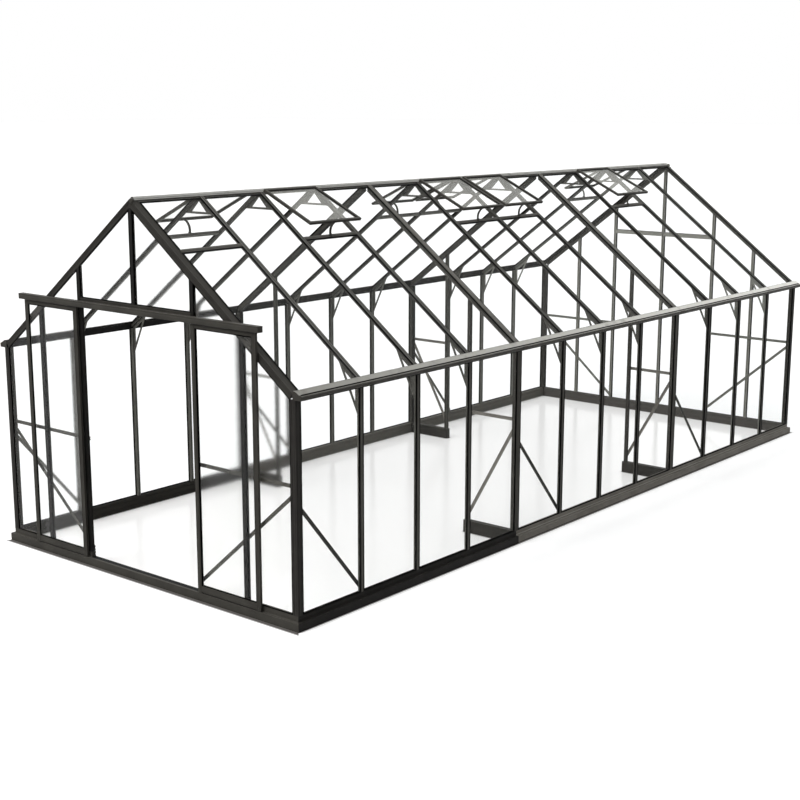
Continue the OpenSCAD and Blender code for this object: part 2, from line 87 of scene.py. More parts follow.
class Shader:
    # one material's or the world's node tree
    def __init__(self, holder):
        holder.use_nodes = True
        self.holder = holder
        self.tree = holder.node_tree
        self.tree.nodes.clear()

    def node(self, kind, settings=None, sockets=None, output=0):
        made = self.tree.nodes.new("ShaderNode" + kind)
        for name, value in (settings or {}).items():
            setattr(made, name, value)
        for name, value in (sockets or {}).items():
            if isinstance(value, Wire):
                self.tree.links.new(value.socket, made.inputs[name])
            else:
                made.inputs[name].default_value = value
        return Wire(self, made.outputs[output])

    def place(self):
        return self.node("TexCoord", output="Object")

    def axis(self, vector, name):
        return self.node("SeparateXYZ", None, {0: vector}, name)

    def noise(self, scale, detail=2.0):
        return self.node("TexNoise", None, {"Scale": scale, "Detail": detail, "Vector": self.place()})

    def blend(self, factor, first, second):
        return self.node("Mix", {"data_type": "RGBA"}, {0: factor, 6: first, 7: second}, 2)

    def span(self, value, low, high):
        # 0 at low, 1 at high
        return self.node("MapRange", None, {"Value": value, "From Min": low, "From Max": high})

    def bump(self, height, strength, distance):
        return self.node("Bump", None, {"Height": height, "Strength": strength, "Distance": distance})

    def ray(self, kind):
        return self.node("LightPath", output="Is " + kind + " Ray")

    def seen(self):
        # 1 where the camera sees it: straight, mirrored or through a pane
        camera, glossy, through = self.ray("Camera"), self.ray("Glossy"), self.ray("Transmission")
        return camera.math("MAXIMUM", camera, glossy.math("MAXIMUM", glossy, through))

    def edges(self, radius):
        # 0 on a flat face, more where it turns into the next one
        rounded = self.node("Bevel", {"samples": 4}, {"Radius": radius})
        straight = self.node("NewGeometry", output="Normal")
        faces = {0: rounded, 1: straight}
        return 1.0 - self.node("VectorMath", {"operation": "DOT_PRODUCT"}, faces, "Value")

    def coat(self, sockets):
        return self.node("BsdfPrincipled", None, sockets)

    def surface(self, wire):
        kind = "ShaderNodeOutputWorld" if isinstance(self.holder, bpy.types.World) else "ShaderNodeOutputMaterial"
        made = self.tree.nodes.new(kind)
        self.tree.links.new(wire.socket, made.inputs["Surface"])
        return self.holder


def rgb(red, green, blue):
    # a screen colour from 0 to 255 as linear light
    def linear(value):
        value = value / 255
        return value / 12.92 if value <= 0.04045 else ((value + 0.055) / 1.055) ** 2.4
    return (linear(red), linear(green), linear(blue), 1.0)


def grey(level):
    return (level, level, level, 1.0)


# tones are screen colours: the paint's own two, the dust on what faces up with its painted highlight, the brighter
# painted reflection of that towards the rear, and the painted light and shade on what faces in and down
plainPaint = {"tones": ((60, 58, 54), (70, 68, 63), (86, 84, 79), (80, 78, 73), (140, 140, 132)),
              "dust and sheen": 0.4, "from": 0.3, "rear shade": 0.0}
# the frame paint in lit and shaded copies, one for each kind of part: painted light and shade in their tones
paintLooks = {
    "frame_paint": {},
    "roof_paint": {"tones": ((64, 62, 58), (74, 72, 68), (130, 129, 124), (60, 58, 55), (136, 136, 130)),
                   "dust and sheen": 0.9},
    "side_paint": {"tones": ((82, 81, 76), (94, 92, 87), (104, 102, 97), (90, 88, 84), (140, 140, 133))},
    "post_paint": {"tones": ((108, 106, 100), (122, 120, 114), (104, 102, 97), (90, 88, 84), (140, 140, 133)),
                   "rear shade": 0.85},
    "corner_paint": {"tones": ((48, 46, 44), (56, 54, 51), (70, 68, 64), (50, 48, 45), (64, 62, 58)),
                     "dust and sheen": 0.3, "rear shade": 1.0},
    "highlight_paint": {"tones": ((172, 170, 163), (182, 180, 173), (176, 174, 167), (176, 174, 167), (128, 125, 118)),
                   "dust and sheen": 0.5},
    "deep_paint": {"tones": ((24, 23, 22), (34, 32, 30), (50, 48, 45), (50, 48, 45), (56, 54, 50)), "dust and sheen": 0.3},
    "dim_paint": {"tones": ((52, 50, 47), (64, 62, 58), (68, 66, 62), (68, 66, 62), (92, 90, 84))},
    "ridged_paint": {"tones": ((68, 66, 62), (80, 78, 73), (134, 132, 126), (140, 138, 132), (38, 37, 35)),
                     "dust and sheen": 0.9, "from": 0.2},
    "gutter_sheen_paint": {"tones": ((74, 72, 68), (88, 86, 82), (154, 153, 147), (250, 249, 242), (26, 25, 24)),
                   "dust and sheen": 0.95, "from": 0.1},
    "cap_paint": {"tones": ((88, 87, 83), (100, 99, 95), (224, 224, 219), (240, 240, 234), (40, 39, 37)),
                  "dust and sheen": 0.95, "from": 0.2},
    "rear_paint": {"tones": ((60, 58, 54), (70, 68, 63), (86, 84, 79), (80, 78, 73), (92, 89, 85))},
    "mist_paint": {"tones": ((60, 58, 54), (70, 68, 63), (86, 84, 79), (80, 78, 73), (158, 157, 149))},
    "foot_paint": {"tones": ((128, 124, 117), (146, 142, 135), (116, 113, 107), (122, 119, 113), (128, 125, 118)),
                   "dust and sheen": 0.7}}
paintGloss = {"specular": 0.08, "roughness": 0.42, "edge": 0.0012, "worn": rgb(104, 101, 96), "wear": 0.3,
              "rear shade tone": rgb(30, 29, 27)}
# how much each way of facing counts as facing the inside or the ground, for the painted light and shade on such faces
shadingLook = {"across": -0.65, "along": -0.27, "up": -0.8, "from": 0.5, "to": 0.8}
gableMarks = (-3.7, 3.7)


def framePaint(name):
    # satin powder coat: fine orange peel, dust with a painted highlight on what faces up, brighter towards the rear
    # as a painted reflection, edges rubbed a little, painted light and shade on what faces in and down, and painted
    # shade darkening it towards the rear
    look, gloss, shading = {**plainPaint, **paintLooks[name]}, paintGloss, shadingLook
    dark, light, dustSheenTone, dustSheenFar, inwardLightAndShade = [rgb(*tone) for tone in look["tones"]]
    s = Shader(bpy.data.materials.new(name))
    normal, place = s.node("NewGeometry", output="Normal"), s.place()
    facing = s.axis(normal, "Z")
    # painted light and shade: how far a face turns inwards and down
    inward = shading["across"] * s.axis(normal, "X") * s.axis(place, "X") + shading["up"] * facing
    inward = inward + shading["along"] * s.axis(normal, "Y") * s.axis(place, "Y")
    # painted highlight with dust: faces turned up are lightened in patches
    dustAndSheen = s.span(facing, look["from"], look["from"] + 0.6) * s.span(s.noise(9.0, 4.0), 0.0, 0.45) * look["dust and sheen"]
    rearwards = s.span(s.axis(place, "Y"), *gableMarks)
    # painted reflection: that highlight is brighter towards the rear
    dustSheenTone = s.blend(rearwards, dustSheenTone, dustSheenFar)
    worn = s.span(s.edges(gloss["edge"]), 0.03, 0.25) * s.span(s.noise(16.0, 4.0), 0.5, 0.72) * gloss["wear"]
    paint = s.blend(s.span(s.noise(5.0, 3.0), 0.35, 0.65), dark, light)
    # painted shade: the paint is darker towards the rear
    paint = s.blend(rearwards * look["rear shade"], paint, gloss["rear shade tone"])
    # painted light and shade: faces turned inwards and down take another tone, lighter on some paints and darker on
    # others
    paint = s.blend(s.span(inward, shading["from"], shading["to"]), paint, inwardLightAndShade)
    peel = s.noise(900.0, 1.0) + 0.5 * s.noise(220.0, 1.0)
    return s.surface(s.coat({
        "Base Color": s.blend(worn, s.blend(dustAndSheen, paint, dustSheenTone), gloss["worn"]),
        "Roughness": gloss["roughness"] + 0.1 * s.noise(60.0, 2.0) + 0.1 * dustAndSheen - 0.08 * worn,
        "Specular IOR Level": gloss["specular"],
        "Normal": s.bump(peel, 0.1, 0.0004),
    }))


# the vents' sky value makes their panes glow: a painted reflection of the sky
paneLook = {"veil": 0.0008, "gloss": {"clear_pane": 0.03, "vent_pane": 0.17},
            "sky glow": {"clear_pane": 0.0, "vent_pane": 0.4}, "haze": 0.075}


def clearPane(name):
    # clear sheet: seen through, with a film of dust and the gloss of its two faces, both stronger on the vents
    look = paneLook
    s = Shader(bpy.data.materials.new(name))
    gloss = s.node("Fresnel", None, {"IOR": 1.45})
    film = s.span(s.noise(2.2, 4.0), 0.35, 0.8)
    sheet = s.coat({
        "Base Color": s.blend(film, rgb(232, 234, 230), rgb(240, 240, 234)),
        "Roughness": 0.05 + 0.05 * s.noise(7.0, 2.0),
        "Specular IOR Level": 0.5,
        # painted reflection: the vent panes glow
        "Emission Color": rgb(255, 253, 240),
        "Emission Strength": look["sky glow"][name],
        "Normal": s.bump(s.noise(3.0, 1.0), 0.02, 0.01),
    })
    through = s.node("BsdfTransparent", None, {"Color": (0.99, 0.993, 0.993, 1.0)})
    share = look["veil"] + look["veil"] * 2.0 * film + look["gloss"][name] * gloss
    return s.surface(s.node("MixShader", None, {0: share, 1: through, 2: sheet}))


def frontPane():
    # the sheet of the front gable and the doors, through which things further off look soft
    s = Shader(bpy.data.materials.new("front_pane"))
    film = s.span(s.noise(2.6, 4.0), 0.35, 0.8)
    haze = s.coat({
        "Base Color": s.blend(film, rgb(255, 255, 255), rgb(252, 253, 252)),
        "Roughness": paneLook["haze"] + 0.02 * s.noise(3.0, 2.0),
        "IOR": 1.15,
        "Transmission Weight": 1.0,
        "Specular IOR Level": 0.5,
    })
    through = s.node("BsdfTransparent", None, {"Color": (0.98, 0.985, 0.985, 1.0)})
    return s.surface(s.node("MixShader", None, {0: s.ray("Shadow"), 1: haze, 2: through}))


def blackPlastic():
    # glazing rubber, brushes, door hangers, and the black strips of painted shade in the bar grooves, the gutters and
    # along the base
    s = Shader(bpy.data.materials.new("black_plastic"))
    rubbed = s.span(s.noise(30.0, 3.0), 0.4, 0.7)
    return s.surface(s.coat({
        "Base Color": s.blend(rubbed, rgb(14, 14, 15), rgb(24, 24, 23)),
        "Roughness": 0.5 + 0.2 * s.noise(120.0, 2.0),
        "Specular IOR Level": 0.12,
        "Normal": s.bump(s.noise(1800.0, 1.0), 0.15, 0.0003),
    }))


finishes = {name: framePaint(name) for name in paintLooks}
finishes.update({name: clearPane(name) for name in paneLook["gloss"]})
finishes.update({"front_pane": frontPane(), "black_plastic": blackPlastic()})
nodeFinishes = {"knee_braces": "side_paint", "ridge_collars": "side_paint", "vent_panes": "vent_pane"}
for part in frame["record"]["subparts"]:
    cadNode = frame["nodes"][part["node"]]
    cadNode.data.materials.clear()
    cadNode.data.materials.append(finishes[nodeFinishes.get(part["node"], part["material_slot"])])
print("finishes made")


class Solid:
    # one closed body of a CAD node: its corners, the planes of its faces and its longest edge
    def __init__(self, corners, planes, longest):
        self.corners = corners
        self.planes = planes
        self.longest = longest
        self.middle = sum(corners, Vector()) / len(corners)

    def reach(self, way):
        marks = [corner.dot(way) for corner in self.corners]
        return min(marks), max(marks)

    def steps(self, way):
        # every level along a direction at which it has a corner
        return sorted({round(corner.dot(way), 4) for corner in self.corners})

    def ends(self, way):
        # the planes that cut it off along a direction
        return [(place, normal) for place, normal in self.planes if abs(normal.dot(way)) > 0.3]


def solidsOf(name):
    form = bmesh.new()
    form.from_mesh(frame["nodes"][name].data)
    bmesh.ops.remove_doubles(form, verts=form.verts, dist=0.00001)
    form.normal_update()
    solids, seen = [], set()
    for first in form.verts:
        if first in seen:
            continue
        seen.add(first)
        group = [first]
        for vert in group:
            for edge in vert.link_edges:
                other = edge.other_vert(vert)
                if other not in seen:
                    seen.add(other)
                    group.append(other)
        faces = list(dict.fromkeys(face for vert in group for face in vert.link_faces))
        edges = list(dict.fromkeys(edge for face in faces for edge in face.edges))
        folded = [edge for edge in edges if edge.calc_face_angle(0.0) > 0.1]
        longest = max(folded, key=lambda edge: edge.calc_length())
        planes = [(face.calc_center_median(), face.normal.copy()) for face in faces]
        way = (longest.verts[1].co - longest.verts[0].co).normalized()
        solids.append(Solid([vert.co.copy() for vert in group], planes, way))
    form.free()
    return solids


def grooved(width, depth, look):
    # a bar's outline, across and outwards: rounded corners, and grooves in its four faces
    half, turn = width / 2, look["round"]
    walks = (("in", (-half, 0.0), (1, 0), width), ("right", (half, 0.0), (0, 1), depth),
             ("out", (half, depth), (-1, 0), width), ("left", (-half, depth), (0, -1), depth))
    outline = []
    for face, start, way, long in walks:
        marks = [(0.0, turn, 0.0)]
        for where, place, wide, deep in look.get("grooves", ()):
            if where == face or (where == "sides" and face in ("left", "right")):
                middle = long / 2 + (-place if face == "left" else place)
                marks.append((middle, wide / 2, deep))
        for middle, reach, deep in sorted(marks):
            if deep:
                steps = ((middle - reach, 0.0), (middle - reach, deep), (middle + reach, deep), (middle + reach, 0.0))
            else:
                steps = ((reach, 0.0),)
            for go, sink in steps:
                outline.append((start[0] + way[0] * go - way[1] * sink, start[1] + way[1] * go + way[0] * sink))
        for go, sink in ((long - turn, 0.0), (long - turn * 0.3, turn * 0.3)):
            outline.append((start[0] + way[0] * go - way[1] * sink, start[1] + way[1] * go + way[0] * sink))
    return outline


def sweep(form, outline, along, side, out, foot, ends):
    # one bar: every line of its outline runs between the planes that end it
    rings = ([], [])
    for across, depth in outline:
        line = foot + side * across + out * depth
        for far, ring in enumerate(rings):
            cuts = [(place - line).dot(normal) / along.dot(normal)
                    for place, normal in ends if (along.dot(normal) > 0) == bool(far)]
            ring.append(form.verts.new(line + along * (min(cuts) if far else max(cuts))))
    for step in range(len(outline)):
        after = (step + 1) % len(outline)
        form.faces.new((rings[0][step], rings[0][after], rings[1][after], rings[1][step]))
    form.faces.new(rings[0])
    form.faces.new(rings[1])


def squareEnds(along, low, high):
    return [(along * low, -along), (along * high, along)]


def layBar(form, along, out, look, across, depth, ends):
    # a grooved bar; across and depth are its lowest and highest distance along side and out
    side = out.cross(along)
    foot = side * (sum(across) / 2) + out * depth[0]
    outline = grooved(across[1] - across[0], depth[1] - depth[0], look)
    sweep(form, outline, along, side, out, foot, ends)


def boxBar(form, low, high, along, out, look):
    # a grooved bar that fills the box between two corners
    low, high = Vector(low), Vector(high)
    side = out.cross(along)
    reach = [sorted((low.dot(way), high.dot(way))) for way in (side, out, along)]
    layBar(form, along, out, look, reach[0], reach[1], squareEnds(along, *reach[2]))


def flipped(look):
    # the same bar turned to the other hand
    other = {"left": "right", "right": "left"}
    grooves = [(other.get(face, face), place if face in other or face == "sides" else -place, wide, deep)
               for face, place, wide, deep in look["grooves"]]
    return {"round": look["round"], "grooves": grooves}


def addDisc(form, place, normal, rings, corners=12):
    # a round thing standing on place: rings are (radius, height) from its foot to its top
    first = normal.orthogonal().normalized()
    second = normal.cross(first)
    turns = [math.tau * step / corners for step in range(corners)]
    ways = [first * math.cos(turn) + second * math.sin(turn) for turn in turns]
    loops = [[form.verts.new(place + normal * height + way * radius) for way in ways] for radius, height in rings]
    for lower, upper in zip(loops, loops[1:]):
        for step in range(corners):
            after = (step + 1) % corners
            form.faces.new((lower[step], lower[after], upper[after], upper[step]))
    form.faces.new(loops[0])
    form.faces.new(loops[-1])


def addBolt(form, place, normal, size=0.0055):
    # a pan head with a socket
    rings = ((1.0, 0.0), (1.0, 0.45), (0.8, 0.7), (0.42, 0.72), (0.36, 0.3))
    addDisc(form, place, normal, [(size * radius, size * height) for radius, height in rings])


def newPiece(name, form, finish="frame_paint", body="house", nodes=()):
    bmesh.ops.recalc_face_normals(form, faces=form.faces)
    mesh = bpy.data.meshes.new(name)
    form.to_mesh(mesh)
    form.free()
    mesh.materials.append(finishes[finish])
    piece = bpy.data.objects.new(name, mesh)
    scene.collection.objects.link(piece)
    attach(piece, body)
    "frame_paint" if finish in paintLooks else finish
    if nodes:
        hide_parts(*nodes)
    return piece


def sign(value):
    return 1.0 if value > 0 else -1.0


roofPlanes = solidsOf("roof_bars_right")[0].planes
roofNormal = next(normal for place, normal in roofPlanes if normal.x > 0.3 and normal.z > 0.3)
moduleMarks = sorted({round(solid.middle.y, 4) for solid in solidsOf("joint_posts")})


def sidewards(middle):
    return Vector((sign(middle.x), 0.0, 0.0))


def endwards(middle):
    return Vector((0.0, sign(middle.y), 0.0))


def roofwards(middle):
    return Vector((roofNormal.x * sign(middle.x), 0.0, roofNormal.z))


def downSlope(middle):
    return Vector((roofNormal.z * sign(middle.x), 0.0, -roofNormal.x))


# each groove: the face it is in, how far from the middle, its width and its depth
# the bars' black strips of painted shade in the outer grooves: their width and their places across
barLook = {"round": 0.001, "shadeStrip": 0.0052, "shadeStrips": (-0.0094, 0.0094), "grooves": [
    ("out", -0.0094, 0.0056, 0.008), ("out", 0.0094, 0.0056, 0.008),
    ("in", 0.0, 0.0084, 0.008), ("sides", -0.006, 0.004, 0.0028)]}
roofLook = {"round": 0.001, "shadeStrip": 0.0075, "shadeStrips": (0.0,), "grooves": [
    ("out", 0.0, 0.008, 0.010), ("in", 0.0, 0.0084, 0.008), ("sides", -0.006, 0.004, 0.0028)]}
sillLook = {"round": 0.001, "grooves": [("out", 0.005, 0.005, 0.003), ("sides", -0.005, 0.003, 0.002)]}
jointLook = {"round": 0.001, "shadeStrip": 0.0054, "shadeStrips": (-0.0185, 0.0, 0.0185), "grooves": [
    ("out", 0.0, 0.0058, 0.008), ("out", -0.0185, 0.0058, 0.008), ("out", 0.0185, 0.0058, 0.008),
    ("in", 0.0, 0.0018, 0.006), ("in", -0.0125, 0.0084, 0.008), ("in", 0.0125, 0.0084, 0.008),
    ("sides", -0.012, 0.004, 0.0028)]}
pairLook = {"round": 0.001, "grooves": [
    ("out", 0.0, 0.0012, 0.002), ("out", -0.0205, 0.002, 0.001), ("out", 0.0205, 0.002, 0.001),
    ("in", 0.0, 0.0018, 0.006), ("in", -0.0125, 0.0084, 0.008), ("in", 0.0125, 0.0084, 0.008),
    ("sides", -0.012, 0.003, 0.0014)]}
postLook = {"round": 0.002, "grooves": [
    ("out", -0.013, 0.004, 0.002), ("out", 0.013, 0.004, 0.002), ("in", 0.0, 0.0084, 0.008),
    ("sides", -0.010, 0.005, 0.003), ("sides", 0.012, 0.003, 0.002)]}
headerLook = {"round": 0.0015, "grooves": [
    ("out", -0.014, 0.004, 0.002), ("out", 0.016, 0.003, 0.0015), ("in", 0.0, 0.01, 0.006)]}
braceLook = {"round": 0.001, "spread": 0.0025, "grooves": [("out", 0.0, 0.010, 0.0014), ("in", 0.0, 0.012, 0.004)]}
# black strips of painted shade in the outer grooves: how deep they sink and how far under the face they stop
shadeStripLook = {"round": 0.0003, "deep": 0.006, "under": 0.0006}
# each kind of bar takes a lit and shaded copy of the frame paint
barPlan = (
    ("wall_bars_left", barLook, sidewards, "post_paint"), ("wall_bars_right", barLook, sidewards, "post_paint"),
    ("corner_posts", postLook, sidewards, "corner_paint"), ("joint_posts", pairLook, sidewards, "ridged_paint"),
    ("roof_bars_left", roofLook, roofwards, "roof_paint"), ("roof_bars_right", roofLook, roofwards, "roof_paint"),
    ("joint_rafters", jointLook, roofwards, "ridged_paint"), ("gable_bars_front", barLook, endwards, "deep_paint"),
    ("gable_bars_rear", barLook, endwards, "mist_paint"), ("header", headerLook, endwards, "dim_paint"),
    ("rear_cross_bars", sillLook, endwards, "mist_paint"), ("wing_posts", barLook, sidewards, "frame_paint"),
    ("vent_sills", sillLook, roofwards, "side_paint"), ("wall_braces", braceLook, sidewards, "frame_paint"),
    ("gable_braces", braceLook, endwards, "frame_paint"), ("wing_braces", braceLook, endwards, "foot_paint"),
)


def makeBars(node, look, outward, finish):
    # the real extrusions in place of plain bars, cut as the plain ones are
    form, shadeStrips = bmesh.new(), bmesh.new()
    spread = look.get("spread", 0.0)
    for solid in solidsOf(node):
        out, along = outward(solid.middle), solid.longest
        low, high = solid.reach(out.cross(along))
        ends = solid.ends(along)
        layBar(form, along, out, look, (low - spread, high + spread), solid.reach(out), ends)
        # black strips of painted shade sunk in the outer grooves
        top = solid.reach(out)[1]
        depth = (top - shadeStripLook["deep"], top - shadeStripLook["under"])
        for away in look.get("shadeStrips", ()):
            across = [(low + high) / 2 + away + way * look["shadeStrip"] / 2 for way in (-1.0, 1.0)]
            layBar(shadeStrips, along, out, shadeStripLook, across, depth, ends)
    newPiece(node + "_extruded", form, finish, nodes=[node])
    if "shadeStrips" in look:
        newPiece(node + "_shade_strips", shadeStrips, "black_plastic")
    else:
        shadeStrips.free()


for plan in barPlan:
    makeBars(*plan)
print("bars made")


gableRafterLook = {
    "leg": {"round": 0.001, "grooves": [
        ("left", 0.0155, 0.0035, 0.006), ("left", 0.0045, 0.009, 0.003), ("left", -0.011, 0.002, 0.0012),
        ("in", 0.0, 0.008, 0.004)]},
    "plate": {"round": 0.001, "grooves": [("out", 0.010, 0.003, 0.0012), ("out", -0.018, 0.003, 0.0012)]},
    "legThick": 0.024, "plateThick": 0.008}


def makeGableRafters():
    # a leg in the gable and a plate under the roof panes; the leg is cut square at its foot
    look = gableRafterLook
    form = bmesh.new()
    for solid in solidsOf("gable_rafters"):
        out, down = roofwards(solid.middle), downSlope(solid.middle)
        outwardsX, face = sidewards(solid.middle), endwards(solid.middle)
        back = -face
        low, high = solid.reach(out)
        start, stop = solid.reach(back)
        foot = solid.reach(upwards)[0]
        wall = solid.reach(outwardsX)[1]
        split = high - look["plateThick"]
        middleCut = (Vector(), -outwardsX)
        topLine = [point for point in solid.corners if abs(point.dot(out) - high) < 0.0005]
        corner = max(topLine, key=lambda point: point.dot(down))  # where the plate's top meets the gutter
        legOutline = grooved(look["legThick"], split - low, look["leg"])
        sweep(form, legOutline, down, back, out, back * (start + look["legThick"] / 2) + out * low,
              [middleCut, (corner, down), (upwards * foot, -upwards)])
        plateOutline = grooved(stop - start, high - split, look["plate"])
        sweep(form, plateOutline, down, back, out, back * ((start + stop) / 2) + out * split,
              [middleCut, (outwardsX * wall, outwardsX)])
    newPiece("gable_rafters_extruded", form, "dim_paint", nodes=["gable_rafters"])


def makeRidge():
    # flat top, sloping faces with a hinge channel each, and a slot underneath
    form = bmesh.new()
    solid = solidsOf("ridge_bar")[0]
    low, high = solid.reach(upwards)
    half, flat = solid.steps(acrossWay)[-1], solid.steps(acrossWay)[-2]
    shoulder = solid.steps(upwards)[1] - low
    tall = high - low
    right = [
        (0.005, 0.0), (half - 0.002, 0.0), (half, 0.002), (half, 0.010), (half - 0.0025, 0.0105),
        (half - 0.0025, 0.0145), (half, 0.015), (half, shoulder), (half - 0.004, shoulder + 0.0055),
        (half - 0.0062, shoulder + 0.0045), (half - 0.0085, shoulder + 0.008), (half - 0.0066, shoulder + 0.0092),
        (flat, tall - 0.001), (flat - 0.001, tall), (0.0018, tall), (0.0018, tall - 0.0015)]
    outline = right + [(-across, up) for across, up in reversed(right)] + [(-0.005, 0.006), (0.005, 0.006)]
    ends = squareEnds(ridgeWay, *solid.reach(ridgeWay))
    sweep(form, outline, ridgeWay, acrossWay, upwards, upwards * low, ends)
    newPiece("ridge_bar_extruded", form, "cap_paint", nodes=["ridge_bar"])


gutterLook = {"skin": 0.0009, "sleeve": 0.035, "cap": 0.003, "trough": 0.018, "plate": 0.020, "short": 0.02}


def makeGutters():
    # pressed gutter: folded lip, drip groove, sloping back plate; sleeves where lengths meet
    look = gutterLook
    for name in ("gutter_left", "gutter_right"):
        form, caps = bmesh.new(), bmesh.new()
        solid = solidsOf(name)[0]
        out = sidewards(solid.middle)
        levels, places = solid.steps(upwards), solid.steps(out)
        low, high = levels[0], levels[-1]
        lip = next(level for level in levels if level - low > 0.02) - low
        start, stop = solid.reach(ridgeWay)
        inner, outer = places[0], places[-1]
        tall, face = high - low, outer - look["skin"]
        trough, plate = outer - look["trough"], inner + look["plate"]

        def run(bars, line, near, far):
            sweep(bars, line, ridgeWay, out, upwards, upwards * low, squareEnds(ridgeWay, near, far))

        outline = [
            (inner, 0.0), (face - 0.003, 0.0), (face - 0.0008, 0.0008), (face, 0.003), (face, 0.0075),
            (face - 0.0014, 0.008), (face - 0.0014, 0.012), (face, 0.0125), (face, lip - 0.007),
            (face - 0.0016, lip - 0.0066), (face - 0.0016, lip - 0.005), (face - 0.0006, lip - 0.0032),
            (face - 0.0028, lip), (face - 0.006, lip), (face - 0.0075, lip - 0.002), (face - 0.0065, lip - 0.004),
            (face - 0.003, lip - 0.005), (face - 0.0028, 0.0032), (trough, 0.0032), (trough, lip + 0.003),
            (trough - 0.0008, lip + 0.0045), (plate + 0.001, tall - 0.0022), (plate, tall - 0.0008),
            (plate - 0.0015, tall), (inner + 0.001, tall), (inner, tall - 0.001)]
        run(form, outline, start + look["cap"], stop - look["cap"])
        wrap = [
            (face - 0.006, 0.0), (outer - 0.002, 0.0), (outer, 0.002), (outer, lip - 0.001),
            (outer - 0.001, lip + 0.0004), (face - 0.003, lip + 0.0004), (face - 0.003, lip - 0.001),
            (face, lip - 0.001), (face, 0.003), (face - 0.006, 0.0006)]
        for mark in moduleMarks:
            run(form, wrap, mark - look["sleeve"], mark + look["sleeve"])
        capLine = [(inner, 0.0), (outer - 0.003, 0.0), (outer, 0.003), (outer, lip), (trough, lip + 0.004),
                   (plate, tall), (inner, tall)]
        for near, far in ((start, start + look["cap"]), (stop - look["cap"], stop)):
            run(caps, capLine, near, far)
        # the gutter's paint carries a painted highlight on its plate, near white towards the rear
        newPiece(name + "_pressed", form, "gutter_sheen_paint", nodes=[name])
        newPiece(name + "_caps", caps)
        # black strips of painted shade: in the trough, under the top edge and along the foot
        shadeLines = bmesh.new()
        for across, up, wide in ((trough - 0.0045, lip + 0.0062, 0.0055), (inner + 0.0004, tall, 0.0065),
                                 (outer - 0.0058, 0.006, 0.0058)):
            square = [(across, up - wide), (across + wide, up - wide), (across + wide, up), (across, up)]
            run(shadeLines, square, start + look["short"], stop - look["short"])
        newPiece(name + "_shade_lines", shadeLines, "black_plastic")


baseLook = {
    "gap": 0.0006, "short": 0.05, "tread": (-0.012, 0.0, 0.012),
    "rail": {"round": 0.0014, "grooves": [("sides", -0.016, 0.003, 0.0014), ("sides", 0.024, 0.0022, 0.0012)]},
    "curb": {"round": 0.001, "grooves": [("out", 0.0, 0.008, 0.004), ("sides", 0.002, 0.0035, 0.0014)]}}


